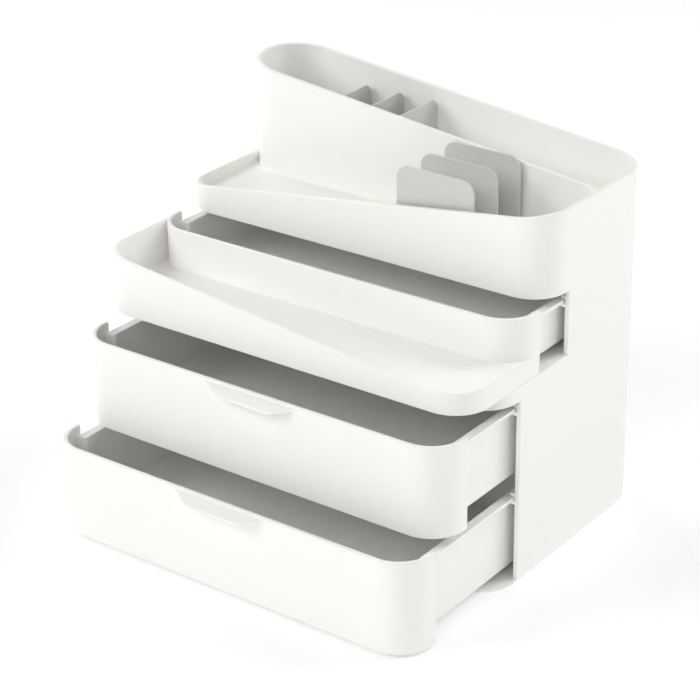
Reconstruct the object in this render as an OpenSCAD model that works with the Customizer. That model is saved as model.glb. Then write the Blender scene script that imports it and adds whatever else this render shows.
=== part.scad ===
// Desktop mini drawers: a white cabinet with a stepped front, three drawers that run on
// side flanges, and an open organizer on top. X is the width, the front faces -Y, Z is up,
// and the origin is the middle of the underside. Lengths are in millimetres.

/* [Cabinet] */
// Overall width of the cabinet
body_w = 260; // [230:1:320]
// Depth from the closed lower fronts to the back
body_d = 164; // [150:1:200]
// Depth of the step in front of the upper storey
step_d = 48.5; // [36:0.5:56]
// Radius of the upright front corners
corner_r = 22; // [14:0.5:24]
// Radius of the rear right corner
rear_right_r = 24; // [16:0.5:28]
// Radius of the rear left corner, which is also the rear left end of the trough
rear_left_r = 26.9; // [18:0.1:29]
// Thickness of the side, back and organizer walls
wall_t = 3; // [2.2:0.2:3.6]
// Thickness of the base plate
base_t = 1.2; // [1:0.2:4]
// How far the base plate lies behind the closed fronts
base_inset = 0.5; // [0:0.5:4]

/* [Step shelf] */
// Height of the shelf's front band
shelf_h = 8.7; // [6:0.1:14]
// Thickness of the shelf's deck
shelf_deck_t = 2.6; // [2:0.2:4]
// How far the band lies behind the closed fronts
band_inset = 0; // [0:0.5:8]

/* [Organizer] */
// Height of the band below the organizer's floor
organizer_band_h = 6.8; // [3:0.2:10]
// Thickness of the organizer's floor
organizer_floor_t = 2.2; // [2:0.2:4]
// Height of the left rim above the organizer's floor
rim_left_h = 6; // [4:0.5:20]
// Height of the right rim above the organizer's floor
rim_right_h = 41; // [30:1:70]
// Height of the trough's left end above the organizer's floor
trough_left_h = 70; // [50:1:90]
// Depth of the rear trough, walls included
trough_d = 58.4; // [56:0.1:64]
// Radius of the trough's front left end
trough_left_r = 28.7; // [20:0.1:31]
// Radius of the fillet where the trough's wall meets the right side
trough_fillet_r = 9; // [4:0.5:14]

/* [Drawers] */
// Height of the bottom drawer's front
bottom_front_h = 57.8; // [44:0.1:80]
// Height of the middle drawer's front
middle_front_h = 55.9; // [44:0.1:80]
// Height of the top drawer, from its skirt to its rim
top_front_h = 38.4; // [32:0.1:60]
// Thickness of the drawer fronts
front_t = 2.6; // [2:0.2:3.2]
// Straight run of a front's return behind its rounded corner
return_run = 3.2; // [2:0.2:8]
// Thickness of the drawer walls and floors
box_t = 2; // [1.6:0.2:2.6]
// Side gap between a drawer's wall and the cabinet's side
side_gap = 4.6; // [3.4:0.2:8]
// Gap between a drawer's back and the cabinet's back
rear_gap = 3.5; // [2:0.5:10]
// Radius of a drawer's rear corners
box_r = 18; // [8:0.5:20]
// How far a box's side walls, and the webs that join them to the returns, reach into the front
box_lead = 3.7; // [2.8:0.1:6]
// Height of a drawer box's underside above the drawer's lower edge
box_lift = 5.3; // [3:0.1:10]
// How far a lower drawer's flanges lie below its rim
flange_drop = 5.6; // [4:0.1:12]
// How far the top drawer's flanges lie below its rim
top_flange_drop = 5.3; // [4:0.1:8]

/* [Top drawer tray] */
// Height of the tray's floor above the lower edge of its skirt
tray_lift = 10.4; // [6:0.1:14]
// Thickness of the tray's floor
tray_floor_t = 2.2; // [1.8:0.2:3]
// Height of the tray's rim above its floor at the left end, where it falls to the right
tray_rim_left = 25.1; // [12:0.1:26]
// Height of the tray's rim above its floor at the right end, where it is level
tray_rim_right = 0.7; // [0.5:0.1:8]
// Length of the level part at the right end
tray_rim_run = 26; // [1:1:60]

/* [Runners] */
// Thickness of a drawer's flanges
flange_t = 2.2; // [1.6:0.2:3]
// Thickness of a runner's ledges
ledge_t = 2; // [1.6:0.2:3]
// How far the ledges stand out from the cabinet's side
ledge_w = 2.8; // [2:0.1:3]
// Depth of the runner's web in the cabinet's side
web_t = 0.8; // [0.6:0.1:1]
// Gap below a flange, on which it slides
slide_gap = 0.3; // [0.2:0.05:0.6]
// Gap above a flange
lift_gap = 0.5; // [0.3:0.1:1]
// Gap between a flange's edge and the cabinet's side
edge_gap = 0.6; // [0.4:0.1:1]

/* [Gaps] */
// Gap between a drawer's lower edge and what lies below it
front_lift = 0.3; // [0.2:0.1:1]
// Gap between the two lower fronts
front_gap = 0.4; // [0.3:0.1:1.5]
// Gap between a closed front's return and the side panel's edge
return_gap = 0.5; // [0.4:0.1:1.5]
// Gap between the top drawer's rim and the organizer
head_gap = 1.1; // [0.6:0.1:2]

/* [Pulls] */
// Width of a pull
pull_w = 68; // [44:1:110]
// Length of the swept curve at each end of a pull
pull_end_l = 13.5; // [6:0.5:20]
// How far a pull stands out from the front
pull_d = 9; // [6:0.5:14]
// How far a pull's root lies below the rim
pull_drop = 1.6; // [0.6:0.2:4]
// How far a pull slopes down to its edge
pull_slope = 2.7; // [0:0.1:5]
// Thickness of a pull
pull_t = 1.8; // [1.4:0.2:3]

/* [Dividers] */
// Thickness of the divider plates
divider_t = 1.2; // [1:0.1:2]
// Height of the divider plates above the organizer's floor
divider_h = 50.6; // [30:0.2:70]
// Width of the front divider plates
front_divider_w = 52.5; // [30:0.5:70]
// Middle of the front divider plates, right of the cabinet's middle
front_divider_x = 52.6; // [20:0.2:60]
// Gap between the outer front divider plates and the compartment's walls
front_divider_gap = 2.3; // [1:0.1:10]
// Radius of the front divider plates' top corners
front_divider_r = 8; // [2:0.5:14]
// Middle one of the trough's divider plates, left of the cabinet's middle
trough_divider_x = 44; // [10:1:60]
// Distance between the trough's divider plates
trough_divider_pitch = 25; // [12:0.5:32]
// Radius of the trough's divider plates' top corners
trough_divider_r = 6; // [2:0.5:14]
// Depth of the grooves that hold the plates
groove_d = 1.2; // [0.8:0.1:1.4]
// Gap round a plate in its groove
groove_gap = 0.15; // [0.1:0.05:0.3]
// Gap between a trough plate and the trough's walls
plate_gap = 0.3; // [0.2:0.1:1]

/* [Pose] */
// How far the bottom drawer is open
bottom_open = 81.5; // [0:0.5:90]
// How far the middle drawer is open
middle_open = 51.4; // [0:0.1:90]
// How far the top drawer is open
top_open = 29; // [0:0.1:45]

/* [Hidden] */
$fn = 96;
far = 1000;
over = 1;
white = [0.95, 0.95, 0.94];
grey = [0.80, 0.79, 0.78];

// Plan: the outer faces, and the edges of the panels
half_w = body_w / 2;
front_y = -body_d / 2;
back_y = body_d / 2;
band_y = front_y + band_inset;
upper_y = front_y + step_d;
inner_half_w = half_w - wall_t;
back_in_y = back_y - wall_t;
return_l = corner_r + return_run;
lower_edge_y = front_y + return_l + return_gap;
upper_edge_y = upper_y + return_l + return_gap;
trough_y = back_y - trough_d;
rear_y = back_y - max(rear_left_r, rear_right_r);
front_in_r = corner_r - front_t;

// Levels, from the base up
bottom_z = base_t + front_lift;
bottom_rim_z = bottom_z + bottom_front_h;
middle_z = bottom_rim_z + front_gap;
middle_rim_z = middle_z + middle_front_h;
shelf_z = middle_rim_z + front_lift;
deck_z = shelf_z + shelf_h;
top_z = deck_z + front_lift;
top_rim_z = top_z + top_front_h;
organizer_z = top_rim_z + head_gap;
floor_z = organizer_z + organizer_band_h + organizer_floor_t;
rim_left_z = floor_z + rim_left_h;
rim_right_z = floor_z + rim_right_h;
trough_left_z = floor_z + trough_left_h;
tray_floor_z = top_z + tray_lift + tray_floor_t;

// Drawers: walls, flanges and where each flange's underside lies
box_half_w = inner_half_w - side_gap;
flange_half_w = inner_half_w - edge_gap;
box_back_y = back_in_y - rear_gap;
bottom_flange_z = bottom_rim_z - flange_drop - flange_t;
middle_flange_z = middle_rim_z - flange_drop - flange_t;
top_flange_z = top_rim_z - top_flange_drop - flange_t;
flange_back_y = min(box_back_y - box_r, rear_y);
runner_back_y = rear_y - over;
runner_h = ledge_t + slide_gap + flange_t + lift_gap + ledge_t;
box_lead_y = return_l - box_lead;

// Where a straight wall t thick runs into a round corner of radius r, tangent to its outer
// face, it belongs to the corner's piece over this length in front of the tangent point. It
// starts just ahead of the line where its inner face meets the corner, and stops where the
// two outer faces are all but one
wedge_lead = 0.6;
wedge_stop = 3;
function wedge_l(r, t) = sqrt(2 * r * t - t * t) + wedge_lead;

// One corner's waste, for a corner at the origin of a shape that lies in +X, +Y
module corner_waste(r) {
    if (r > 0) difference() {
        translate([-over, -over]) square(r + over);
        translate([r, r]) circle(r);
    }
}

// A rectangle with its own radius at each corner, named as seen from above, front down
module round_rect(x0, x1, y0, y1, front_left = 0, front_right = 0, rear_right = 0, rear_left = 0) {
    difference() {
        translate([x0, y0]) square([x1 - x0, y1 - y0]);
        translate([x0, y0]) corner_waste(front_left);
        translate([x1, y0]) mirror([1, 0]) corner_waste(front_right);
        translate([x1, y1]) mirror([1, 0]) mirror([0, 1]) corner_waste(rear_right);
        translate([x0, y1]) mirror([0, 1]) corner_waste(rear_left);
    }
}

// The cabinet's outline with its front at y0, and the same moved inwards by inset
module cabinet_plan(y0, inset = 0) {
    round_rect(-half_w + inset, half_w - inset, y0 + inset, back_y - inset,
        corner_r - inset, corner_r - inset, rear_right_r - inset, rear_left_r - inset);
}

// The part of the plane with y between y0 and y1
module y_range(y0, y1) {
    translate([-far, y0]) square([2 * far, y1 - y0]);
}

// The wall of a front with rounded corners and short returns: y0 is its face, l its length
module front_plan(y0, l) {
    intersection() {
        difference() {
            round_rect(-half_w, half_w, y0, y0 + 2 * l, corner_r, corner_r);
            round_rect(-half_w + front_t, half_w - front_t, y0 + front_t, y0 + 3 * l,
                front_in_r, front_in_r);
        }
        y_range(y0 - over, y0 + l);
    }
}

// The room inside such a front, open at the back
module front_room(y0) {
    round_rect(-half_w + front_t, half_w - front_t, y0 + front_t, back_y, front_in_r, front_in_r);
}

// All that lies below a line from the left side to the right side, seen from the front
module below(z_left, z_right) {
    rotate([90, 0, 0]) linear_extrude(2 * far, center = true)
        polygon([[-half_w, -over], [half_w, -over], [half_w, z_right], [-half_w, z_left]]);
}

module trough_rim() { below(trough_left_z, rim_right_z); }
module front_rim() { below(rim_left_z, rim_right_z); }

// Base plate
module base_plate() {
    color(white) linear_extrude(base_t) cabinet_plan(front_y + base_inset);
}

// A side panel's plan, from its front edge round the rear corner, for the side s
module side_plan(s, edge_y) {
    rear_r = s < 0 ? rear_left_r : rear_right_r;
    intersection() {
        difference() {
            cabinet_plan(front_y);
            cabinet_plan(front_y, wall_t);
        }
        translate([s < 0 ? -half_w - over : half_w - rear_r, edge_y])
            square([rear_r + over, body_d]);
    }
}

// The seats of the three runners in a side panel
module runner_seats(s) {
    runner_seat(s, bottom_flange_z, lower_edge_y);
    runner_seat(s, middle_flange_z, lower_edge_y);
    runner_seat(s, top_flange_z, upper_edge_y);
}

module runner_seat(s, flange_z, edge_y) {
    x = s < 0 ? -inner_half_w - web_t : inner_half_w - over;
    translate([x, edge_y - over, flange_z - slide_gap - ledge_t])
        cube([web_t + over, runner_back_y - edge_y + over, runner_h]);
}

module side_panel_right() {
    color(white) intersection() {
        difference() {
            union() {
                translate([0, 0, base_t]) linear_extrude(deck_z - base_t)
                    side_plan(1, lower_edge_y);
                translate([0, 0, deck_z]) linear_extrude(rim_right_z + half_w - deck_z)
                    side_plan(1, upper_edge_y);
            }
            runner_seats(1);
        }
        trough_rim();
    }
}

// The left panel ends at the organizer's floor behind the point where the trough's round
// end meets it, and carries the organizer's low left rim in front of that point
trough_meet_y = trough_y + trough_left_r - wedge_l(trough_left_r, wall_t);

module side_panel_left() {
    color(white) difference() {
        union() {
            translate([0, 0, base_t]) linear_extrude(deck_z - base_t)
                side_plan(-1, lower_edge_y);
            translate([0, 0, deck_z]) linear_extrude(floor_z - deck_z)
                side_plan(-1, upper_edge_y);
            intersection() {
                translate([-half_w, upper_edge_y, floor_z])
                    cube([wall_t, trough_meet_y - upper_edge_y, far]);
                front_rim();
            }
        }
        runner_seats(-1);
    }
}

// Back panel, the flat wall between the two rear corners
module back_panel() {
    color(white) intersection() {
        translate([-half_w + rear_left_r, back_in_y, base_t])
            cube([body_w - rear_left_r - rear_right_r, wall_t, far]);
        trough_rim();
    }
}

// Step shelf: a deck between the panels, and a band that runs round its front corners
module step_shelf() {
    color(white) union() {
        translate([0, 0, deck_z - shelf_deck_t]) linear_extrude(shelf_deck_t) union() {
            intersection() {
                cabinet_plan(band_y);
                y_range(band_y - over, lower_edge_y);
            }
            intersection() {
                cabinet_plan(band_y, wall_t);
                y_range(lower_edge_y - over, back_y);
            }
        }
        translate([0, 0, shelf_z]) linear_extrude(shelf_h) intersection() {
            difference() {
                cabinet_plan(band_y);
                cabinet_plan(band_y, wall_t);
            }
            y_range(band_y - over, lower_edge_y);
        }
    }
}

// Organizer floor, with a groove for each divider plate
module organizer_floor() {
    color(white) difference() {
        translate([0, 0, floor_z - organizer_floor_t]) linear_extrude(organizer_floor_t)
            cabinet_plan(upper_y, wall_t);
        for (i = [-1:1]) {
            translate([front_divider_x, front_divider_y(i), floor_z])
                cube([front_divider_w + 2 * groove_gap, divider_t + 2 * groove_gap,
                    2 * groove_d], center = true);
            translate([trough_divider_at(i), trough_mid_y, floor_z])
                cube([divider_t + 2 * groove_gap, trough_plate_w + 2 * groove_gap,
                    2 * groove_d], center = true);
        }
    }
}

// Organizer front, with the rim that rises to the right
module organizer_front() {
    color(white) intersection() {
        translate([0, 0, organizer_z]) linear_extrude(rim_right_z - organizer_z) intersection() {
            difference() {
                cabinet_plan(upper_y);
                cabinet_plan(upper_y, wall_t);
            }
            y_range(upper_y - over, upper_edge_y);
        }
        front_rim();
    }
}

// Trough wall: a round left end, a straight run and a fillet into the right side
module trough_wall() {
    color(white) union() {
        intersection() {
            translate([0, 0, floor_z]) linear_extrude(trough_left_z - floor_z) union() {
                difference() {
                    round_rect(-half_w, inner_half_w, trough_y, back_y,
                        trough_left_r, 0, 0, rear_left_r);
                    round_rect(-inner_half_w, half_w, trough_y + wall_t, back_in_y,
                        trough_left_r - wall_t, 0, 0, rear_left_r - wall_t);
                    translate([-half_w + rear_left_r, back_in_y - over]) square([body_w, body_d]);
                }
                translate([inner_half_w, trough_y]) mirror([1, 0]) mirror([0, 1]) difference() {
                    square(trough_fillet_r);
                    translate([trough_fillet_r, trough_fillet_r]) circle(trough_fillet_r);
                }
            }
            trough_rim();
        }
        intersection() {
            translate([-half_w, trough_meet_y, floor_z])
                cube([wall_t, wedge_l(trough_left_r, wall_t) - wedge_stop, far]);
            front_rim();
        }
    }
}

// Divider plates. The front ones stand across the compartment, the trough's stand across
// the trough, and each stands in its groove
compartment_mid_y = (upper_y + wall_t + trough_y) / 2;
front_divider_pitch = (trough_y - upper_y - wall_t - divider_t) / 2 - front_divider_gap;
trough_mid_y = (trough_y + wall_t + back_in_y) / 2;
trough_plate_w = trough_d - 2 * wall_t - 2 * plate_gap;
function front_divider_y(i) = compartment_mid_y + i * front_divider_pitch;
function trough_divider_at(i) = -trough_divider_x + i * trough_divider_pitch;

// An upright plate, w wide, in the XZ plane with its foot groove_d below the floor
module plate(w, r) {
    h = divider_h + groove_d - groove_gap;
    translate([0, divider_t / 2, -groove_d + groove_gap]) rotate([90, 0, 0])
        linear_extrude(divider_t) round_rect(-w / 2, w / 2, 0, h, 0, 0, r, r);
}

module front_divider(i) {
    color(grey) translate([front_divider_x, front_divider_y(i), floor_z])
        plate(front_divider_w, front_divider_r);
}

module trough_divider(i) {
    color(grey) translate([trough_divider_at(i), trough_mid_y, floor_z]) rotate([0, 0, 90])
        plate(trough_plate_w, trough_divider_r);
}

// A runner: a channel with two ledges, its web let into the side panel, for the side s
module runner(s, flange_z, edge_y) {
    ledge_x = web_t + ledge_w;
    color(white) translate([s * (inner_half_w + web_t), runner_back_y,
            flange_z - slide_gap - ledge_t])
        mirror([s < 0 ? 1 : 0, 0, 0]) mirror([1, 0, 0]) rotate([90, 0, 0])
        linear_extrude(runner_back_y - edge_y) difference() {
            square([ledge_x, runner_h]);
            translate([web_t, ledge_t]) square([ledge_x, runner_h - 2 * ledge_t]);
        }
}

// How far a pull's edge stands out at x: in full along its middle, and down to nothing at
// its ends along the S-curve 3t^2 - 2t^3
function pull_reach(x) =
    let (t = min(1, (pull_w / 2 - abs(x)) / pull_end_l)) pull_d * t * t * (3 - 2 * t);
pull_steps = 14;
pull_xs = [for (i = [0:pull_steps]) i / pull_steps * pull_end_l];

// A pull: a tab with swept ends that slopes down from just below the rim
module pull(rim_z) {
    intersection() {
        translate([0, front_y, 0]) linear_extrude(rim_z) polygon(concat(
            [for (a = pull_xs) [a - pull_w / 2, -pull_reach(a - pull_w / 2)]],
            [for (a = pull_xs) [pull_w / 2 - pull_end_l + a,
                -pull_reach(pull_w / 2 - pull_end_l + a)]],
            [[pull_w / 2, front_t / 2], [-pull_w / 2, front_t / 2]]));
        translate([-half_w, front_y, rim_z - pull_drop]) rotate([90, 0, 90])
            linear_extrude(body_w) polygon([
                [front_t / 2, 0], [0, 0], [-pull_d, -pull_slope],
                [-pull_d, -pull_slope - pull_t], [0, -pull_t], [front_t / 2, -pull_t]]);
    }
}

// A lower drawer's front at z0, h high, with its pull
module drawer_front(z0, h) {
    color(white) union() {
        translate([0, 0, z0]) linear_extrude(h) front_plan(front_y, return_l);
        pull(z0 + h);
    }
}

// A lower drawer's box: z0 is its underside, and flange_z that of its flanges. Its floor
// fills the front out to the returns as far back as the webs
module drawer_box(z0, flange_z) {
    wall_z = flange_z + flange_t;
    color(white) intersection() {
        union() {
            translate([0, 0, z0]) linear_extrude(box_t) union() {
                box_plan(box_half_w, box_back_y, box_r);
                y_range(front_y, front_y + box_lead_y + box_t);
            }
            translate([0, 0, z0]) linear_extrude(wall_z - z0) box_walls(front_y);
            translate([0, 0, flange_z]) linear_extrude(flange_t) flanges(front_y);
        }
        linear_extrude(far) front_room(front_y);
    }
}

module box_plan(half, back, r) {
    round_rect(-half, half, front_y, back, 0, 0, r, r);
}

// The side walls and the back of a box whose front's face is at y0, with the webs that turn
// outwards at the side walls' front ends
module box_walls(y0) {
    intersection() {
        difference() {
            box_plan(box_half_w, box_back_y, box_r);
            translate([0, -over])
                box_plan(box_half_w - box_t, box_back_y - box_t + over, box_r - box_t);
        }
        y_range(y0 + box_lead_y, back_y);
    }
    for (s = [-1, 1])
        translate([s < 0 ? -half_w : box_half_w - box_t, y0 + box_lead_y])
            square([half_w - box_half_w + box_t, box_t]);
}

// The flanges lie on both side walls, over the walls' own thickness
module flanges(y0) {
    for (s = [-1, 1])
        translate([s < 0 ? -flange_half_w : box_half_w - box_t, y0 + box_lead_y])
            square([flange_half_w - box_half_w + box_t, flange_back_y - y0 - box_lead_y]);
}

// Top drawer: a tray in front, whose skirt runs round it, and the drawer behind it
tray_back_y = upper_y + return_l;
wedge_y = upper_y + corner_r - wedge_l(corner_r, front_t);

module tray_plan(l, inset = 0) {
    round_rect(-half_w + inset, half_w - inset, front_y + inset, front_y + l,
        corner_r - inset, corner_r - inset);
}

module top_drawer_tray() {
    l = tray_back_y - front_y;
    color(white) union() {
        translate([0, 0, tray_floor_z - tray_floor_t]) linear_extrude(tray_floor_t) tray_plan(l);
        translate([0, 0, top_z]) linear_extrude(tray_floor_z - top_z) difference() {
            tray_plan(l);
            tray_plan(l + over, front_t);
        }
        intersection() {
            translate([0, 0, tray_floor_z]) linear_extrude(far) difference() {
                tray_plan(wedge_y - front_y);
                tray_plan(l, front_t);
                translate([0, front_y + corner_r]) square(far);
            }
            tray_rim();
        }
    }
}

// All that lies below the tray's rim: it falls from the left side and is level at the right
module tray_rim() {
    z_right = tray_floor_z + tray_rim_right;
    rotate([90, 0, 0]) linear_extrude(2 * far, center = true)
        polygon([[-half_w, -over], [half_w, -over], [half_w, z_right],
            [half_w - tray_rim_run, z_right], [-half_w, tray_floor_z + tray_rim_left]]);
}

// The drawer's own front behind the tray, with the tray's left wall run into its corner
module top_drawer_front() {
    color(white) translate([0, 0, tray_floor_z]) linear_extrude(top_rim_z - tray_floor_z) union() {
        front_plan(upper_y, return_l);
        translate([-half_w, wedge_y]) square([front_t, wedge_l(corner_r, front_t) - wedge_stop]);
    }
}

// The box behind them, whose floor lies lower than the tray's, with a riser between the two
module top_drawer_box() {
    z0 = top_z + min(box_lift, tray_lift);
    wall_z = top_flange_z + flange_t;
    color(white) union() {
        translate([0, 0, z0]) linear_extrude(box_t) intersection() {
            box_plan(box_half_w, box_back_y, box_r);
            y_range(tray_back_y, back_y);
        }
        translate([-box_half_w, tray_back_y, z0])
            cube([2 * box_half_w, box_t, tray_floor_z - z0]);
        translate([0, 0, z0]) linear_extrude(wall_z - z0) intersection() {
            box_walls(upper_y);
            y_range(tray_back_y, back_y);
        }
        intersection() {
            union() {
                translate([0, 0, tray_floor_z])
                    linear_extrude(wall_z - tray_floor_z) box_walls(upper_y);
                translate([0, 0, top_flange_z]) linear_extrude(flange_t) flanges(upper_y);
            }
            linear_extrude(far) front_room(upper_y);
        }
    }
}

module bottom_pose() { translate([0, -bottom_open, 0]) children(); }
module middle_pose() { translate([0, -middle_open, 0]) children(); }
module top_pose() { translate([0, -top_open, 0]) children(); }

base_plate();
side_panel_left();
side_panel_right();
back_panel();
step_shelf();
organizer_floor();
organizer_front();
trough_wall();
front_divider(-1);  // front_divider_1
front_divider(0);  // front_divider_2
front_divider(1);  // front_divider_3
trough_divider(-1);  // trough_divider_1
trough_divider(0);  // trough_divider_2
trough_divider(1);  // trough_divider_3
runner(-1, bottom_flange_z, lower_edge_y);  // runner_bottom_left
runner(1, bottom_flange_z, lower_edge_y);  // runner_bottom_right
runner(-1, middle_flange_z, lower_edge_y);  // runner_middle_left
runner(1, middle_flange_z, lower_edge_y);  // runner_middle_right
runner(-1, top_flange_z, upper_edge_y);  // runner_top_left
runner(1, top_flange_z, upper_edge_y);  // runner_top_right
bottom_pose() drawer_front(bottom_z, bottom_front_h);  // bottom_drawer_front
bottom_pose() drawer_box(bottom_z + box_lift, bottom_flange_z);  // bottom_drawer_box
middle_pose() drawer_front(middle_z, middle_front_h);  // middle_drawer_front
middle_pose() drawer_box(middle_z + box_lift, middle_flange_z);  // middle_drawer_box
top_pose() top_drawer_tray();
top_pose() top_drawer_front();
top_pose() top_drawer_box();
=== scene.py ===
import math

import bmesh
import bpy
import numpy as np
from mathutils import Matrix, Vector


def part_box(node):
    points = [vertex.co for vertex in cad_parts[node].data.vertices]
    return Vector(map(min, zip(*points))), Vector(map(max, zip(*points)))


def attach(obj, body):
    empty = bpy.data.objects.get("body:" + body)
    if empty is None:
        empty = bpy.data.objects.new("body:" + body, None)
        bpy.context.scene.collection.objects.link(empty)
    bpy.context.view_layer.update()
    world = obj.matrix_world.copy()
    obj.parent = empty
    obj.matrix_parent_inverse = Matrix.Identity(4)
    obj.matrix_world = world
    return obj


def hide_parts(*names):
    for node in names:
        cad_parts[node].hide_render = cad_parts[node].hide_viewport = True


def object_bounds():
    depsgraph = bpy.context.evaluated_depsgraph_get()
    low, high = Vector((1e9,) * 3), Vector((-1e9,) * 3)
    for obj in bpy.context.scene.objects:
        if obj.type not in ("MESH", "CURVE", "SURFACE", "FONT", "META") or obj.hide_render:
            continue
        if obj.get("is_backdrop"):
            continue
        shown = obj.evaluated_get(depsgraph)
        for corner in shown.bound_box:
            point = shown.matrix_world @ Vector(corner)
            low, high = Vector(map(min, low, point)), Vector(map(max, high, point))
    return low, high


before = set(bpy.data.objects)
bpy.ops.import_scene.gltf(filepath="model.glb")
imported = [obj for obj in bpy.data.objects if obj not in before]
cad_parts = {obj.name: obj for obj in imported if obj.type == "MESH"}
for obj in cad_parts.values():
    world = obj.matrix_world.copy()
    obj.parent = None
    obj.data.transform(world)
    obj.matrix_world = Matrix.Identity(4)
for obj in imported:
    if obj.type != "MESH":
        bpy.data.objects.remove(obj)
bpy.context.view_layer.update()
mm = 0.001
weldDist, slimDist = 2e-6, 1e-6   # metres
print("frame loaded,", len(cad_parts), "nodes")


# A line in plan: straight runs that turn on arcs. Each knot is (x, y, radius). The line heads
# for each knot and turns there on an arc tangent to both runs. A point of an arc is its centre
# plus the radius times the turned normal. The normals lie to the right of the way of travel.
def planLine(knots, closed=False, stepDeg=2.5):
    knots = np.array(knots, float)
    xy, normal = [], []
    for i, (x, y, radius) in enumerate(knots):
        here = np.array([x, y])
        before, after = knots[i - 1, :2], knots[(i + 1) % len(knots), :2]
        if not closed and i == 0:
            before = 2 * here - after
        if not closed and i == len(knots) - 1:
            after = 2 * here - before
        comeIn = (here - before) / np.linalg.norm(here - before)
        goOut = (after - here) / np.linalg.norm(after - here)
        turn = math.atan2(comeIn[0] * goOut[1] - comeIn[1] * goOut[0], comeIn @ goOut)
        right = np.array([comeIn[1], -comeIn[0]])
        bends = radius and abs(turn) > 1e-6
        steps = max(1, round(abs(math.degrees(turn)) / stepDeg)) if bends else 0
        angle = np.linspace(0, turn, steps + 1) if steps else np.array([turn / 2])
        turned = np.stack([right[0] * np.cos(angle) - right[1] * np.sin(angle),
                           right[0] * np.sin(angle) + right[1] * np.cos(angle)], -1)
        if steps:
            side = math.copysign(1, turn)
            start = here - comeIn * radius * math.tan(abs(turn) / 2)
            xy.append(start - side * right * radius + side * radius * turned)
        else:
            xy.append(here[None])
        normal.append(turned)
    return {"xy": np.concatenate(xy), "normal": np.concatenate(normal), "closed": closed}


# Adds stations at the ends of an open line. Towards an end the section shrinks by
# radius * (1 - sin) while it still has radius * (1 - cos) to go, which is a quarter circle.
def roundEnds(line, first=0.0, last=0.0, steps=4):
    xy, normal = line["xy"], line["normal"]
    inset = np.zeros(len(xy))
    angle = np.linspace(0, math.pi / 2, steps + 1)
    for radius, atEnd in ((first, False), (last, True)):
        if radius <= 0:
            continue
        if atEnd:
            xy, normal, inset = xy[::-1], normal[::-1], inset[::-1]
        along = (xy[1] - xy[0]) / np.linalg.norm(xy[1] - xy[0])
        toGo = radius * (1 - np.cos(angle))
        xy = np.concatenate([xy[0] + along * toGo[:, None], xy[1:]])
        inset = np.concatenate([radius * (1 - np.sin(angle)), inset[1:]])
        normal = np.concatenate([np.repeat(normal[:1], steps + 1, 0), normal[1:]])
        if atEnd:
            xy, normal, inset = xy[::-1], normal[::-1], inset[::-1]
    return {**line, "xy": xy, "normal": normal, "inset": inset}


# Turns a grid of points, rows by ring, into a closed mesh. Rows join their neighbours, the ring
# closes on itself or ends in flat faces, and points that coincide become one.
def gridPiece(name, points, rubAndSheen, body, material, rowsClose=False, ringCloses=True,
              sharpDeg=40.0, stands=()):
    rows, ring = points.shape[:2]
    index = np.arange(rows * ring).reshape(rows, ring)
    a, b = (index, np.roll(index, -1, 0)) if rowsClose else (index[:-1], index[1:])
    quads = (np.stack([a, b, np.roll(b, -1, 1), np.roll(a, -1, 1)], -1) if ringCloses
             else np.stack([a[:, :-1], b[:, :-1], b[:, 1:], a[:, 1:]], -1))
    faces = quads.reshape(-1, 4).tolist()
    if not rowsClose:
        faces += [index[0].tolist(), index[-1].tolist()]
    if not ringCloses:
        faces += [index[:, 0].tolist(), index[:, -1].tolist()]
    mesh = bpy.data.meshes.new(name)
    mesh.from_pydata((points.reshape(-1, 3) * mm).tolist(), [], faces)
    # These weights mark the rounded edges, which the material paints paler, partly as wear and
    # partly as a painted highlight
    layer = mesh.attributes.new("rubAndSheen", "FLOAT", "POINT")
    layer.data.foreach_set("value", np.broadcast_to(rubAndSheen, (rows, ring)).astype(np.float32).ravel())
    work = bmesh.new()
    work.from_mesh(mesh)
    bmesh.ops.remove_doubles(work, verts=work.verts, dist=weldDist)
    bmesh.ops.dissolve_degenerate(work, edges=work.edges, dist=slimDist)
    bmesh.ops.recalc_face_normals(work, faces=work.faces)
    work.to_mesh(mesh)
    work.free()
    mesh.shade_smooth()
    mesh.set_sharp_from_angle(angle=math.radians(sharpDeg))
    piece = bpy.data.objects.new(name, mesh)
    bpy.context.scene.collection.objects.link(piece)
    piece.data.materials.append(material)
    weigh = piece.modifiers.new("flatFaces", "WEIGHTED_NORMAL")
    weigh.keep_sharp = True
    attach(piece, body)
    if stands:
        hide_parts(*stands)
    return piece


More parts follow.
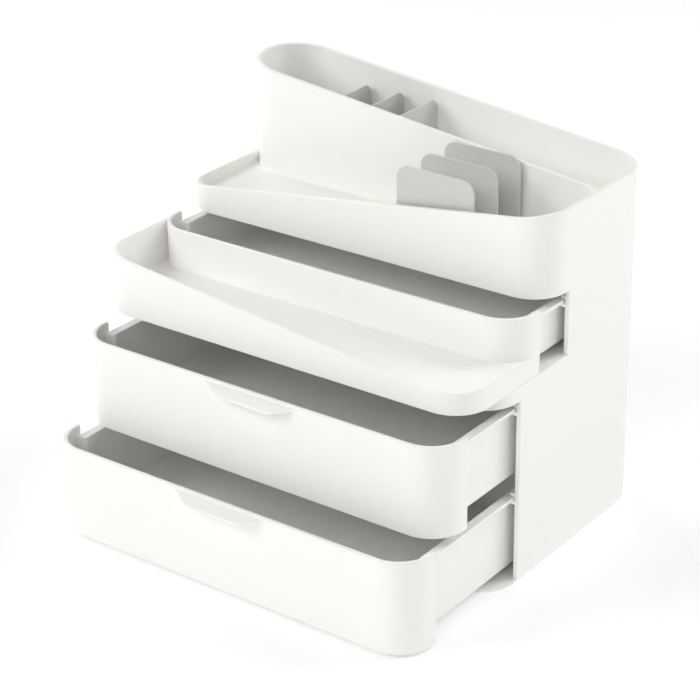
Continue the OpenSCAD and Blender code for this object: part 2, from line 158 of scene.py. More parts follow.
# A wall along a line. Its section is an upright rectangle from the outer face inwards, with a
# quarter circle at each of its four corners: at the angle c the point lies r(1 - cos c) in from
# the face and r(1 - sin c) below the top. low and top are heights, one or one per station.
def wallPiece(name, line, thick, low, top, body, material, edges=(0.8, 0.8, 0.8, 0.8),
              outward=0.0, arc=4, stands=()):
    xy, normal = line["xy"], line["normal"]
    count = len(xy)
    perStation = lambda value: np.broadcast_to(np.asarray(value, float), count)[:, None]
    inset, outward = perStation(line.get("inset", 0.0)), perStation(outward)
    angle = np.linspace(0, math.pi / 2, arc + 1)[None]
    bend, drop = 1 - np.cos(angle), 1 - np.sin(angle)
    sections = []
    for corner, (radius, inner, upper) in enumerate(zip(
            edges, (False, True, True, False), (True, True, False, False))):
        radius = perStation(radius)
        shrink = np.where(radius > 0, inset, 0)
        radius = np.maximum(radius - inset, 0)
        turnedRound = corner % 2 == 1
        away = radius * (bend[:, ::-1] if turnedRound else bend) + inset
        level = radius * (drop[:, ::-1] if turnedRound else drop) + shrink
        depth = thick - away if inner else away - outward
        plan = xy[:, None] - normal[:, None] * depth[..., None]
        z = perStation(top) - level if upper else perStation(low) + level
        rubAndSheen = np.sin(2 * angle) * (radius > 0) + np.zeros_like(z)
        sections.append((np.concatenate([plan, z[..., None]], -1), rubAndSheen))
    points = np.concatenate([s[0] for s in sections], 1)
    rubAndSheen = np.concatenate([s[1] for s in sections], 1)
    return gridPiece(name, points, rubAndSheen, body, material, rowsClose=line["closed"],
                     stands=stands)


# A flat plate: a closed outline carried from one face to the other. Near a face the outline
# draws in by edge * (1 - sin), so that both rims are quarter circles. axes says which of the
# world's axes the outline's two and the thickness run along.
def platePiece(name, line, low, high, body, material, edges=(0.0, 0.0), arc=3,
               axes=(0, 1, 2), stands=()):
    angle = np.linspace(0, math.pi / 2, arc + 1)
    inwards, along = 1 - np.sin(angle), 1 - np.cos(angle)
    drawIn = np.concatenate([edges[0] * inwards, (edges[1] * inwards)[::-1]])
    height = np.concatenate([low + edges[0] * along, (high - edges[1] * along)[::-1]])
    rubAndSheen = np.concatenate([np.sin(2 * angle) * (edge > 0) for edge in edges])[None]
    plan = line["xy"][:, None] - line["normal"][:, None] * drawIn[None, :, None]
    points = np.empty(plan.shape[:2] + (3,))
    points[..., axes[0]], points[..., axes[1]] = plan[..., 0], plan[..., 1]
    points[..., axes[2]] = height[None]
    return gridPiece(name, points, rubAndSheen, body, material, rowsClose=True, ringCloses=False,
                     stands=stands)


# A node group with named sockets, each given as its label, kind and, for an input, its value
def newGroup(name, inputs, outputs):
    group = bpy.data.node_groups.new(name, "ShaderNodeTree")
    for label, kind, value in inputs:
        socket = group.interface.new_socket(name=label, in_out="INPUT", socket_type=kind)
        socket.default_value = value
    for label, kind in outputs:
        group.interface.new_socket(name=label, in_out="OUTPUT", socket_type=kind)
    return group, group.nodes.new("NodeGroupInput"), group.nodes.new("NodeGroupOutput")


# A Math node. first and second are numbers or sockets
def mathNode(tree, kind, first, second, clamp=False):
    node = tree.nodes.new("ShaderNodeMath")
    node.operation, node.use_clamp = kind, clamp
    for socket, value in zip(node.inputs, (first, second)):
        if isinstance(value, (int, float)):
            socket.default_value = value
        else:
            tree.links.new(value, socket)
    return node.outputs[0]


# A Noise Texture node, whose scale comes from a socket
def noiseNode(tree, position, scale, detail, roughness=0.5):
    node = tree.nodes.new("ShaderNodeTexNoise")
    node.inputs["Detail"].default_value = detail
    node.inputs["Roughness"].default_value = roughness
    tree.links.new(position, node.inputs["Vector"])
    tree.links.new(scale, node.inputs["Scale"])
    return node.outputs["Fac"]


# The eroded grain of a mould: fine noise over a slower one, and the faint wave of the surface
def makeGrain():
    group, start, end = newGroup(
        "mouldGrain",
        [("Position", "NodeSocketVector", (0, 0, 0)), ("Grain Scale", "NodeSocketFloat", 900.0),
         ("Wave Scale", "NodeSocketFloat", 18.0), ("Wave Share", "NodeSocketFloat", 0.3)],
        [("Height", "NodeSocketFloat"), ("Speck", "NodeSocketFloat")])
    where = start.outputs["Position"]
    fine = noiseNode(group, where, start.outputs["Grain Scale"], detail=3.0, roughness=0.6)
    wave = noiseNode(group, where, start.outputs["Wave Scale"], detail=1.0)
    slow = mathNode(group, "MULTIPLY", wave, start.outputs["Wave Share"])
    group.links.new(mathNode(group, "ADD", fine, slow), end.inputs["Height"])
    group.links.new(fine, end.inputs["Speck"])
    return group


# How the melt flowed: broad soft clouds between two tones of one plastic
def makeTone():
    group, start, end = newGroup(
        "flowTone",
        [("Position", "NodeSocketVector", (0, 0, 0)), ("Scale", "NodeSocketFloat", 7.0),
         ("Light", "NodeSocketColor", (1, 1, 1, 1)),
         ("Deep", "NodeSocketColor", (0.9, 0.9, 0.9, 1))],
        [("Color", "NodeSocketColor"), ("Cloud", "NodeSocketFloat")])
    cloud = noiseNode(group, start.outputs["Position"], start.outputs["Scale"],
                      detail=4.0, roughness=0.55)
    mix = group.nodes.new("ShaderNodeMix")
    mix.data_type = "RGBA"
    group.links.new(cloud, mix.inputs["Factor"])
    group.links.new(start.outputs["Deep"], mix.inputs["A"])
    group.links.new(start.outputs["Light"], mix.inputs["B"])
    group.links.new(mix.outputs["Result"], end.inputs["Color"])
    group.links.new(cloud, end.inputs["Cloud"])
    return group


# The mask of the rounded edges, broken up by noise: where edges are worn and where a painted
# highlight pales them
def makeRub():
    group, start, end = newGroup(
        "edgeWearAndSheen",
        [("Position", "NodeSocketVector", (0, 0, 0)), ("Edge", "NodeSocketFloat", 0.0),
         ("Scale", "NodeSocketFloat", 60.0), ("Amount", "NodeSocketFloat", 0.5)],
        [("Mask", "NodeSocketFloat")])
    patch = noiseNode(group, start.outputs["Position"], start.outputs["Scale"], detail=3.0)
    broken = mathNode(group, "MULTIPLY", start.outputs["Edge"], patch)
    mask = mathNode(group, "MULTIPLY", broken, start.outputs["Amount"], True)
    group.links.new(mask, end.inputs["Mask"])
    return group


groups = {"grain": makeGrain(), "tone": makeTone(), "rubAndSheen": makeRub()}


# Satin plastic: clouded tone, rounded edges paler as wear and as a painted highlight, roughness
# that follows both, fine grain
def mouldedPlastic(name, look):
    material = bpy.data.materials.new(name)
    material.use_nodes = True
    tree = material.node_tree
    shader = tree.nodes["Principled BSDF"]
    position = tree.nodes.new("ShaderNodeTexCoord").outputs["Object"]
    edge = tree.nodes.new("ShaderNodeAttribute")
    edge.attribute_name = "rubAndSheen"
    grain, tone, rubAndSheen = (tree.nodes.new("ShaderNodeGroup") for _ in range(3))
    grain.node_tree, tone.node_tree, rubAndSheen.node_tree = groups["grain"], groups["tone"], groups["rubAndSheen"]
    for node in (grain, tone, rubAndSheen):
        tree.links.new(position, node.inputs["Position"])
    grain.inputs["Grain Scale"].default_value = look["grainScale"]
    grain.inputs["Wave Scale"].default_value = look["waveScale"]
    grain.inputs["Wave Share"].default_value = look["waveShare"]
    tone.inputs["Scale"].default_value = look["toneScale"]
    tone.inputs["Light"].default_value = (*look["light"], 1)
    tone.inputs["Deep"].default_value = (*look["deep"], 1)
    rubAndSheen.inputs["Amount"].default_value = look["rubAndSheenAmount"]
    tree.links.new(edge.outputs["Fac"], rubAndSheen.inputs["Edge"])
    # Paler colour on the rounded edges: partly wear, partly a painted highlight
    wearAndSheen = tree.nodes.new("ShaderNodeMix")
    wearAndSheen.data_type = "RGBA"
    wearAndSheen.inputs["B"].default_value = (*look["wearAndSheen"], 1)
    tree.links.new(rubAndSheen.outputs["Mask"], wearAndSheen.inputs["Factor"])
    tree.links.new(tone.outputs["Color"], wearAndSheen.inputs["A"])
    tree.links.new(wearAndSheen.outputs["Result"], shader.inputs["Base Color"])
    clouded = mathNode(tree, "MULTIPLY", tone.outputs["Cloud"], look["roughSpread"])
    rough = mathNode(tree, "ADD", look["roughness"] - look["roughSpread"] / 2, clouded)
    polished = mathNode(tree, "MULTIPLY", rubAndSheen.outputs["Mask"], look["rubGloss"])
    rough = mathNode(tree, "SUBTRACT", rough, polished)
    specks = mathNode(tree, "MULTIPLY", grain.outputs["Speck"], look["speckRough"])
    rough = mathNode(tree, "ADD", rough, specks, True)
    tree.links.new(rough, shader.inputs["Roughness"])
    bump = tree.nodes.new("ShaderNodeBump")
    bump.inputs["Strength"].default_value = look["bumpStrength"]
    bump.inputs["Distance"].default_value = look["bumpDistance"]
    tree.links.new(grain.outputs["Height"], bump.inputs["Height"])
    tree.links.new(bump.outputs["Normal"], shader.inputs["Normal"])
    shader.inputs["IOR"].default_value = look["ior"]
    return material


# The edge colour pales the rounded edges: partly wear, partly a painted highlight
whiteLook = {
    "light": (0.975, 0.967, 0.936), "deep": (0.962, 0.954, 0.923), "wearAndSheen": (0.98, 0.973, 0.945),
    "toneScale": 6.0, "grainScale": 1100.0, "waveScale": 16.0, "waveShare": 0.35,
    "rubAndSheenAmount": 0.6, "rubGloss": 0.05, "roughness": 0.46, "roughSpread": 0.1, "speckRough": 0.05,
    "bumpStrength": 0.25, "bumpDistance": 0.00006, "ior": 1.49,
}
# The grey's edge colour is paler still: partly wear, partly a painted highlight
greyLook = {
    **whiteLook, "light": (0.65, 0.642, 0.62), "deep": (0.62, 0.612, 0.59),
    "wearAndSheen": (0.72, 0.715, 0.70), "roughness": 0.38, "grainScale": 1500.0, "toneScale": 11.0,
}
cabinetPlastic = mouldedPlastic("cabinetPlastic", whiteLook)
drawerPlastic = mouldedPlastic("drawerPlastic", {**whiteLook, "toneScale": 8.0})
runnerPlastic = mouldedPlastic("runnerPlastic",
                               {**whiteLook, "roughness": 0.38, "waveShare": 0.15})
dividerPlastic = mouldedPlastic("dividerPlastic", greyLook)
print("materials made")


# Sizes in mm, with the drawers closed and the middle of the underside at zero
seam = 0.02   # between stations on both sides of a sudden change
hair = 0.03   # keeps two faces out of one plane
near = 0.01   # counts as the same place
cabinet = {
    "halfWidth": 130.0, "frontY": -82.0, "backY": 82.0, "wall": 3.0, "corner": 22.0,
    "rearLeft": 26.9, "rearRight": 24.0, "edge": 0.8, "baseTop": 1.2, "baseInset": 0.5,
    "lowerEdgeY": -56.3, "upperEdgeY": -7.8, "upperY": -33.5,
    "deckTop": 124.6, "deckLow": 122.0, "shelfLow": 115.9,
    "organizerLow": 164.4, "floorLow": 171.2, "buried": 1.0, "bandLap": 2.0, "baseEdge": 0.4,
    "rimLeft": 179.4, "rimRight": 214.4, "troughLeft": 243.4,
    "troughY": 23.6, "troughR": 28.7, "troughGap": 0.1, "filletR": 9.0,
    "filletStep": 9, "filletShut": 0.93,
}
c = cabinet
half, back, edge = c["halfWidth"], c["backY"], c["edge"]
inside, backInside = half - c["wall"], back - c["wall"]

# Lower storey: from the right front edge round the back to the left front edge. Its top is
# rounded only in front of the upper storey, and flush behind
line = roundEnds(planLine([
    (half, c["lowerEdgeY"], 0), (half, c["upperEdgeY"] - seam, 0), (half, c["upperEdgeY"], 0),
    (half, back, c["rearRight"]), (-half, back, c["rearLeft"]),
    (-half, c["upperEdgeY"], 0), (-half, c["upperEdgeY"] - seam, 0), (-half, c["lowerEdgeY"], 0)]),
    edge, edge)
inFront = np.where(line["xy"][:, 1] < c["upperEdgeY"] - seam / 2, edge, 0.0)
wallPiece("shellLower", line, c["wall"], c["baseTop"], c["deckTop"], "cabinet", cabinetPlastic,
          edges=(inFront, 0, 0, 0),
          stands=("side_panel_left", "side_panel_right"))

# Middle storey, flush with what lies below and above it
line = roundEnds(planLine([
    (half, c["upperEdgeY"], 0), (half, back, c["rearRight"]), (-half, back, c["rearLeft"]),
    (-half, c["upperEdgeY"], 0)]), edge, edge)
wallPiece("shellMiddle", line, c["wall"], c["deckTop"], c["organizerLow"], "cabinet",
          cabinetPlastic, edges=(0, 0, 0, 0), stands=("back_panel",))

# Organizer: one wall that starts inside the left end of the trough, runs forward round the
# compartment, up the right side, round the back, and turns in to become the trough's front
# wall, which flares into the right side on a quarter circle. Both rims are straight slopes
# from the left face to the inner face on the right
shutIn = half - c["buried"]
filletX = inside - c["filletR"]
meetY = c["troughY"] + c["troughR"]
filletAt = filletX + c["filletR"] * np.sin(np.radians(np.arange(0, 91, c["filletStep"])))
line = planLine([
    (-half, meetY - c["troughGap"], 0), (-half, c["upperEdgeY"] + seam, 0),
    (-half, c["upperEdgeY"], 0), (-half, c["upperY"], c["corner"]),
    (half, c["upperY"], c["corner"]),
    (half, c["upperEdgeY"], 0), (half, c["upperEdgeY"] + seam, 0), (half, back, c["rearRight"]),
    (-half, back, c["rearLeft"]), (-half, c["troughY"], c["troughR"]),
    *((x, c["troughY"], 0) for x in filletAt), (shutIn, c["troughY"], 0)])
xs, ys = line["xy"].T
order = np.arange(len(xs))
onTrough = order >= np.argmax((xs > half - near) & (ys > c["upperEdgeY"] + seam / 2))
onFrontWall = onTrough & (ys < meetY - near) & (order > np.argmax(ys > back - near))
slope = np.minimum((xs + half) / (half + inside), 1)
offFillet = np.where(onFrontWall, np.clip((xs - filletX) / c["filletR"], 0, 1), 0)
rim = np.where(onTrough, c["troughLeft"], c["rimLeft"])
rim = rim + (c["rimRight"] - rim) * slope - np.where(offFillet > c["filletShut"], hair, 0)
overhang = (ys < c["upperEdgeY"] + seam / 2) & ~onTrough
foot = np.where(onFrontWall, c["floorLow"] + c["buried"], c["organizerLow"])
wallPiece("shellUpper", line, c["wall"], foot, rim, "cabinet", cabinetPlastic,
          edges=(edge, edge, 0, np.where(overhang, edge, 0.0)),
          outward=c["filletR"] * (1 - np.sqrt(1 - offFillet ** 2)),
          stands=("organizer_front", "trough_wall"))
print("cabinet walls made")

# Step shelf: the band round its front, whose ends lie a hair inside the panels' faces, and
# the deck behind it
bandEnd = c["lowerEdgeY"] + c["bandLap"]
line = planLine([
    (-half, bandEnd, 0), (-half, c["lowerEdgeY"], 0), (-half, c["frontY"], c["corner"]),
    (half, c["frontY"], c["corner"]), (half, c["lowerEdgeY"], 0), (half, bandEnd, 0)])
wallPiece("shelfBand", line, c["wall"], c["shelfLow"], c["deckTop"], "cabinet", cabinetPlastic,
          edges=(edge, 0, edge * 0.5, edge * 0.5),
          outward=np.where(line["xy"][:, 1] > c["lowerEdgeY"] + seam, -hair, 0.0),
          stands=("step_shelf",))
inner, frontInside = c["corner"] - c["wall"], c["frontY"] + c["wall"]
line = planLine([(-inside, backInside, c["rearLeft"] - c["wall"]), (-inside, frontInside, inner),
                 (inside, frontInside, inner),
                 (inside, backInside, c["rearRight"] - c["wall"])], closed=True)
platePiece("shelfDeck", line, c["deckLow"], c["deckTop"], "cabinet", cabinetPlastic)
baseY = c["frontY"] + c["baseInset"]
line = planLine([(-half, back, c["rearLeft"]), (-half, baseY, c["corner"]),
                 (half, baseY, c["corner"]), (half, back, c["rearRight"])], closed=True)
platePiece("basePlate", line, 0.0, c["baseTop"], "cabinet", cabinetPlastic,
           edges=(c["baseEdge"], 0.0), stands=("base_plate",))

# The organizer's floor is flat, so its CAD node stays and only gets the plastic
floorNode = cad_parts["organizer_floor"]
floorNode.data.materials.clear()
floorNode.data.materials.append(cabinetPlastic)
print("shelf and floors made")

# Divider plates, with their feet in the grooves of the floor
dividers = {
    "thick": 1.2, "foot": 172.35, "footR": 0.5, "top": 224.0, "edge": 0.35,
    "frontLeft": 26.35, "frontRight": 78.85, "frontY": (-27.6, -3.45, 20.7), "frontR": 8.0,
    "troughX": (-69.0, -44.0, -19.0), "troughFront": 26.9, "troughBack": 78.7, "troughR": 6.0,
}
d = dividers


# A plate from first to last, with its upper corners rounded, whose thickness is about middle
def dividerPlate(name, first, last, radius, middle, axes, node):
    line = planLine([(first, d["foot"], d["footR"]), (last, d["foot"], d["footR"]),
                     (last, d["top"], radius), (first, d["top"], radius)], closed=True, stepDeg=5)
    platePiece(name, line, middle - d["thick"] / 2, middle + d["thick"] / 2, "cabinet",
               dividerPlastic, edges=(d["edge"], d["edge"]), axes=axes,
               stands=(node,))


for i, (y, x) in enumerate(zip(d["frontY"], d["troughX"]), 1):
    dividerPlate(f"frontDivider{i}", d["frontLeft"], d["frontRight"], d["frontR"], y,
                 (0, 2, 1), f"front_divider_{i}")
    dividerPlate(f"troughDivider{i}", d["troughFront"], d["troughBack"], d["troughR"], x,
                 (1, 2, 0), f"trough_divider_{i}")
print("dividers made")

# Runners: a channel open to the drawer, carried along the side
runners = {
    "web": 0.8, "ledge": 2.0, "reach": 2.8, "height": 7.0, "frontGap": 0.4, "backY": 54.1,
    "round": 0.35,
    # each storey: the front end's panel edge and the channel's underside
    "storeys": {"bottom": ("lowerEdgeY", 49.2), "middle": ("lowerEdgeY", 105.5),
                "top": ("upperEdgeY", 153.5)},
}
r = runners
wall, lip = inside + r["web"], inside - r["reach"]
for storey, (panelEdge, low) in r["storeys"].items():
    high = low + r["height"]
    ledgeTop, headLow = low + r["ledge"], high - r["ledge"]
    section = [(wall, low), (wall, high), (lip, high), (lip, headLow), (inside, headLow),
               (inside, ledgeTop), (lip, ledgeTop), (lip, low)]
    for side, name in ((-1, "left"), (1, "right")):
        line = planLine([(side * x, z, r["round"]) for x, z in section[::-side]], closed=True,
                        stepDeg=22.5)
        platePiece("runner" + storey.title() + name.title(), line, c[panelEdge] + r["frontGap"],
                   r["backY"], "cabinet", runnerPlastic, axes=(0, 2, 1),
                   stands=(f"runner_{storey}_{name}",))
print("runners made")

# Drawers. The last line holds each lower drawer's heights: its front's lower edge and rim, its
# box's underside and rim
drawers = {
    "thick": 2.6, "edge": 0.8, "returnY": -56.8, "boxHalf": 122.4, "boxWall": 2.0,
    "boxBack": 75.5, "boxR": 18.0, "webBackY": -58.5, "flangeHalf": 126.4, "flangeBack": 55.1,
    "flange": 2.2, "flangeEdge": 0.4, "flangeBite": 0.7, "webReach": 1.4, "webR": 0.6,
    "rimEdges": (0.4, 0.6), "lowEdge": 1.0, "lowShare": 0.7, "bite": 0.8, "floorLap": 0.3,
    "tuck": 0.01,
    "pullHalf": 34.5, "pullEnd": 17.5, "pullReach": 8.2, "pullDrop": 1.6, "pullSlope": 2.5,
    "pullThick": 1.8, "pullBuried": 1.6,
    "bottom": (1.5, 59.3, 6.8, 53.7), "middle": (59.7, 115.6, 65.0, 110.0),
}
w = drawers


# How far a drawer's pieces move from where they lie when it is closed
def opened(node):
    return np.array([0.0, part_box(node + "_box")[1].y / mm - w["boxBack"]])


# The same line, shifted in plan
def moved(line, by):
    return {**line, "xy": line["xy"] + by}


# A pull: its reach at x is in full along the middle and falls to nothing at both ends on the
# S-curve 3t^2 - 2t^3. Its section leaves the front below the rim, slopes down to a round edge
# and comes back below, and every length of it scales with the reach.
def pullPiece(name, rimZ, by, body, steps=40, tipPoints=9):
    x = w["pullHalf"] * np.sin(np.linspace(-math.pi / 2, math.pi / 2, 2 * steps + 1))
    t = np.clip((w["pullHalf"] - np.abs(x)) / w["pullEnd"], 0, 1)
    share = (t * t * (3 - 2 * t))[:, None]
    tip = np.linspace(math.pi / 2, -math.pi / 2, tipPoints)[None]
    halfThick = w["pullThick"] / 2
    reach = w["pullReach"] * share
    tipOut = np.minimum(halfThick, reach * 0.5)
    buried = np.full_like(share, -w["pullBuried"])
    halfway, tipReach = reach * 0.5, reach - tipOut + tipOut * np.cos(tip)
    out = np.concatenate([buried, 0 * share, halfway, tipReach, halfway, 0 * share, buried], 1)
    middle = rimZ - w["pullDrop"] - halfThick
    offset = np.concatenate([[1, 1, 1], np.sin(tip)[0], [-1, -1, -1]])[None] * halfThick
    z = middle + offset - w["pullSlope"] / w["pullReach"] * np.maximum(out, 0)
    points = np.stack([x[:, None] + np.zeros_like(z), c["frontY"] + by[1] - out, z], -1)
    rubAndSheen = np.concatenate([[0, 0, 0], np.cos(tip)[0], [0, 0, 0]])[None]
    return gridPiece(name, points, rubAndSheen, body, drawerPlastic, sharpDeg=50)


# A box's side walls and back, with the webs that turn outwards at the side walls' front ends
# and reach into the front's returns, and the flanges on the side walls. Where footY is given,
# the walls in front of it end at the height footLow
def boxPieces(label, node, by, webBackY, low, rimZ, footY=None, footLow=0.0):
    knots = [(inside + w["webReach"], webBackY, 0), (w["boxHalf"], webBackY, w["webR"])]
    if footY:
        knots += [(w["boxHalf"], footY, 0), (w["boxHalf"], footY + seam, 0)]
    knots.append((w["boxHalf"], w["boxBack"], w["boxR"]))
    knots += [(-x, y, radius) for x, y, radius in knots[::-1]]
    line = planLine(knots)
    lows = np.where(line["xy"][:, 1] < footY + seam / 2, footLow, low) if footY else low
    wallPiece(label + "Walls", moved(line, by), w["boxWall"], lows, rimZ, node, drawerPlastic,
              edges=(*w["rimEdges"], 0, 0.0 if footY else w["lowEdge"]),
              stands=(node + "_box",))
    rounding, wide = w["flangeEdge"], w["flangeHalf"] - w["boxHalf"] + w["flangeBite"]
    for side, name in ((-1, "Left"), (1, "Right")):
        x = side * w["flangeHalf"]
        ends = [(x, webBackY - c["buried"], 0), (x, w["flangeBack"], 0)]
        line = roundEnds(planLine(ends[::side]), rounding * (side < 0), rounding * (side > 0))
        wallPiece(label + "Flange" + name, moved(line, by), wide, rimZ - w["flange"],
                  rimZ - w["tuck"], node, drawerPlastic,
                  edges=(rounding, 0, 0, rounding))


# A lower drawer: its front with the returns at both ends, its pull, its box, and a floor whose
# outline lies inside the walls
def lowerDrawer(label, node, low, high, boxLow, rimZ):
    by = opened(node)
    rounding, lowRounding = w["edge"], w["edge"] * w["lowShare"]
    line = planLine([(-half, w["returnY"], 0), (-half, c["frontY"], c["corner"]),
                     (half, c["frontY"], c["corner"]), (half, w["returnY"], 0)])
    wallPiece(label + "Front", moved(roundEnds(line, rounding, rounding), by), w["thick"], low,
              high, node, drawerPlastic,
              edges=(rounding, rounding, lowRounding, lowRounding), stands=(node + "_front",))
    pullPiece(label + "Pull", high, by, node)
    boxPieces(label, node, by, w["webBackY"], boxLow, rimZ)
    narrow, rear = w["boxHalf"] - w["bite"], w["boxBack"] - w["bite"]
    wide, front = half - w["thick"] + w["bite"], c["frontY"] + w["thick"] - w["bite"]
    turn, corner = w["boxR"] - w["bite"], c["corner"] - w["thick"] + w["bite"]
    webY = w["webBackY"] - w["floorLap"]
    line = planLine([(wide, webY, 0), (narrow, webY, 0), (narrow, rear, turn),
                     (-narrow, rear, turn), (-narrow, webY, 0), (-wide, webY, 0),
                     (-wide, front, corner), (wide, front, corner)], closed=True)
    platePiece(label + "Floor", moved(line, by), boxLow + w["tuck"], boxLow + w["boxWall"], node,
               drawerPlastic)


lowerDrawer("bottomDrawer", "bottom_drawer", *w["bottom"])
lowerDrawer("middleDrawer", "middle_drawer", *w["middle"])
print("lower drawers made")

# Top drawer: a tray with a rim that falls to the right, and the drawer's own front behind it,
# whose left corner runs into the tray's wall
tray = {
    "low": 124.9, "floorLow": 135.3, "floorTop": 137.5, "rimLeft": 162.6, "rimRight": 138.2,
    "levelX": 104.0, "levelRun": 2.0, "faceTop": 163.3, "backY": -8.3, "stopY": -12.5,
    "webBackY": -10.0, "boxLow": 130.2, "boxRim": 158.0, "innerEdge": 0.7, "lowEdge": 0.6,
    "inset": 1.0, "cornerR": 0.1, "lap": 0.5,
}
s = tray
by = opened("top_drawer")
stop, level, rounding = s["stopY"], c["frontY"] + c["corner"], w["edge"]
line = roundEnds(planLine([
    (-half, s["backY"], 0), (-half, stop + seam, 0), (-half, stop, 0),
    (-half, c["frontY"], c["corner"]), (s["levelX"], c["frontY"], 0),
    (half, c["frontY"], c["corner"]), (half, level + s["levelRun"], 0), (half, stop, 0),
    (half, stop + seam, 0), (half, s["backY"], 0)]), rounding, rounding)
xs, ys = line["xy"].T
slope = np.minimum((xs + half) / (s["levelX"] + half), 1)
top = s["rimLeft"] + (s["rimRight"] - s["rimLeft"]) * slope
flush = ((xs > 0) & (ys > level + s["levelRun"] / 2)) | (ys > stop + seam / 2)
top = np.where(flush, s["floorTop"] + hair, top)
upperEdge = np.where(ys > stop + seam / 2, 0.0, rounding)
wallPiece("trayWall", moved(line, by), w["thick"], s["low"], top, "top_drawer", drawerPlastic,
          stands=("top_drawer_tray",),
          edges=(upperEdge, np.minimum(upperEdge, s["innerEdge"]), s["lowEdge"], s["lowEdge"]))
wide, front, corner = half - s["inset"], c["frontY"] + s["inset"], c["corner"] - s["inset"]
line = planLine([(-wide, s["backY"], s["cornerR"]), (-wide, front, corner), (wide, front, corner),
                 (wide, s["backY"], s["cornerR"])], closed=True)
platePiece("trayFloor", moved(line, by), s["floorLow"], s["floorTop"], "top_drawer", drawerPlastic)
line = roundEnds(planLine([
    (-half, s["backY"], 0), (-half, c["upperY"], c["corner"]), (half, c["upperY"], c["corner"]),
    (half, s["backY"], 0)]), rounding, rounding)
onSides = np.abs(line["xy"][:, 0]) > half - 2 * near
foot = np.where(onSides, s["floorTop"], s["floorTop"] - s["lap"])
wallPiece("topDrawerFront", moved(line, by), w["thick"], foot, s["faceTop"], "top_drawer",
          drawerPlastic, edges=(rounding, rounding, 0, 0),
          stands=("top_drawer_front",))

# Its box stands on the tray's floor in front. Behind the tray a riser goes down to a lower floor
boxPieces("topDrawer", "top_drawer", by, s["webBackY"], s["boxLow"], s["boxRim"],
          footY=s["backY"], footLow=s["floorTop"] - c["buried"])
wide, rear, turn = w["boxHalf"] - w["bite"], w["boxBack"] - w["bite"], w["boxR"] - w["bite"]
line = planLine([(wide, rear, turn), (-wide, rear, turn), (-wide, s["backY"], s["cornerR"]),
                 (wide, s["backY"], s["cornerR"])], closed=True)
platePiece("topDrawerFloor", moved(line, by), s["boxLow"] + w["tuck"], s["boxLow"] + w["boxWall"],
           "top_drawer", drawerPlastic)
line = planLine([(-wide, s["backY"], 0), (wide, s["backY"], 0)])
wallPiece("topDrawerRiser", moved(line, by), w["boxWall"], s["boxLow"] + s["lap"],
          s["floorTop"] - w["tuck"], "top_drawer", drawerPlastic,
          edges=(0, 0, 0, 0))
print("top drawer made")

# The studio: a pale floor, a plain sky and five softboxes
stageLook = {
    "floor": 1.0, "floorRoughness": 0.9, "floorHalf": 15.0,
    "glow": (0.14, 0.5), "glowAt": (1.0, 4.0),   # near and far, and at how many metres
    "sky": (0.5, 0.25), "skyAt": (0.0, 0.25),   # level and overhead, and at what height
    "aim": (0.0, -0.03, 0.12), "lampAway": 2.4, "lampSize": 1.2,
    # each softbox: degrees to the right of the front, degrees up, watts
    "softboxes": {"frontSoftbox": (-40, 35, 20.0), "cornerSoftbox": (20, 35, 9.6),
                  "leftSoftbox": (-110, 41, 12.0), "backSoftbox": (141, 40, 21.2),
                  "rightSoftbox": (95, 35, 4.2)},
}


# Turns one range of a value smoothly into another
def rampNode(tree, value, before, after, socket):
    ramp = tree.nodes.new("ShaderNodeMapRange")
    ramp.interpolation_type = "SMOOTHSTEP"
    for label, number in zip(("From Min", "From Max", "To Min", "To Max"), (*before, *after)):
        ramp.inputs[label].default_value = number
    tree.links.new(value, ramp.inputs["Value"])
    tree.links.new(ramp.outputs["Result"], socket)


reach = stageLook["floorHalf"]
mesh = bpy.data.meshes.new("studioFloor")
mesh.from_pydata([(-reach, -reach, 0), (reach, -reach, 0), (reach, reach, 0), (-reach, reach, 0)],
                 [], [(0, 1, 2, 3)])
floor = bpy.data.objects.new("studioFloor", mesh)
bpy.context.scene.collection.objects.link(floor)
floorPaint = bpy.data.materials.new("floorPaint")
floorPaint.use_nodes = True
paint = floorPaint.node_tree.nodes["Principled BSDF"]
paint.inputs["Base Color"].default_value = (*[stageLook["floor"]] * 3, 1)
paint.inputs["Roughness"].default_value = stageLook["floorRoughness"]
paint.inputs["Specular IOR Level"].default_value = 0.0
paint.inputs["Emission Color"].default_value = (1, 1, 1, 1)
tree = floorPaint.node_tree
distance = tree.nodes.new("ShaderNodeVectorMath")
distance.operation = "LENGTH"
tree.links.new(tree.nodes.new("ShaderNodeTexCoord").outputs["Object"], distance.inputs[0])
rampNode(tree, distance.outputs["Value"], stageLook["glowAt"], stageLook["glow"],
         paint.inputs["Emission Strength"])
floor.data.materials.append(floorPaint)
floor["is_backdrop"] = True

world = bpy.data.worlds.new("studio")
world.use_nodes = True
tree = world.node_tree
sky = tree.nodes["Background"]
sky.inputs["Color"].default_value = (1, 1, 1, 1)
height = tree.nodes.new("ShaderNodeSeparateXYZ")
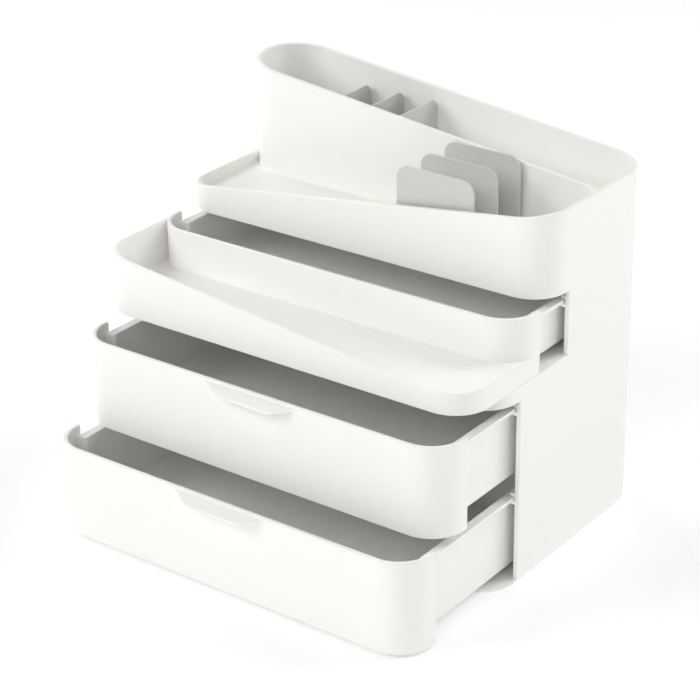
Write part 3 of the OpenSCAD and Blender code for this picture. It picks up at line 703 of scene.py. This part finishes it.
tree.links.new(tree.nodes.new("ShaderNodeTexCoord").outputs["Generated"], height.inputs[0])
rampNode(tree, height.outputs["Z"], stageLook["skyAt"], stageLook["sky"], sky.inputs["Strength"])
bpy.context.scene.world = world
bpy.context.scene.view_settings.view_transform = "Standard"


# The direction at so many degrees to the right of the front and so many up
def lookFrom(azimuth, elevation):
    az, el = math.radians(azimuth), math.radians(elevation)
    return Vector((math.sin(az) * math.cos(el), -math.cos(az) * math.cos(el), math.sin(el)))


for name, (azimuth, elevation, power) in stageLook["softboxes"].items():
    light = bpy.data.lights.new(name, "AREA")
    light.shape, light.size, light.energy = "DISK", stageLook["lampSize"], power
    lamp = bpy.data.objects.new(name, light)
    lamp.location = lookFrom(azimuth, elevation) * stageLook["lampAway"]
    lamp.rotation_mode = "QUATERNION"
    lamp.rotation_quaternion = (Vector(stageLook["aim"]) - lamp.location).to_track_quat("-Z", "Y")
    bpy.context.scene.collection.objects.link(lamp)

# The camera: the direction it looks from in degrees, and its place and lens
shot = {
    "azimuth": 36.622, "elevation": 24.961, "roll": -0.705, "place": (0.7015, -0.9798, 0.6639),
    "lens": 113.27, "sensor": 36.0, "shift": (-0.00375, -0.02857), "clip": (0.05, 100.0),
}
away, roll = lookFrom(shot["azimuth"], shot["elevation"]), math.radians(shot["roll"])
right = (-away).cross(Vector((0, 0, 1))).normalized()
up = right.cross(-away)
right, up = (right * math.cos(roll) + up * math.sin(roll),
             up * math.cos(roll) - right * math.sin(roll))
lens = bpy.data.cameras.new("shot")
lens.lens, lens.sensor_width, lens.sensor_fit = shot["lens"], shot["sensor"], "HORIZONTAL"
lens.shift_x, lens.shift_y = shot["shift"]
lens.clip_start, lens.clip_end = shot["clip"]
camera = bpy.data.objects.new("shot", lens)
camera.matrix_world = Matrix((
    (right.x, up.x, away.x, shot["place"][0]), (right.y, up.y, away.y, shot["place"][1]),
    (right.z, up.z, away.z, shot["place"][2]), (0, 0, 0, 1)))
bpy.context.scene.collection.objects.link(camera)
bpy.context.scene.camera = camera
print("floor, lights and camera made")

low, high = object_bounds()
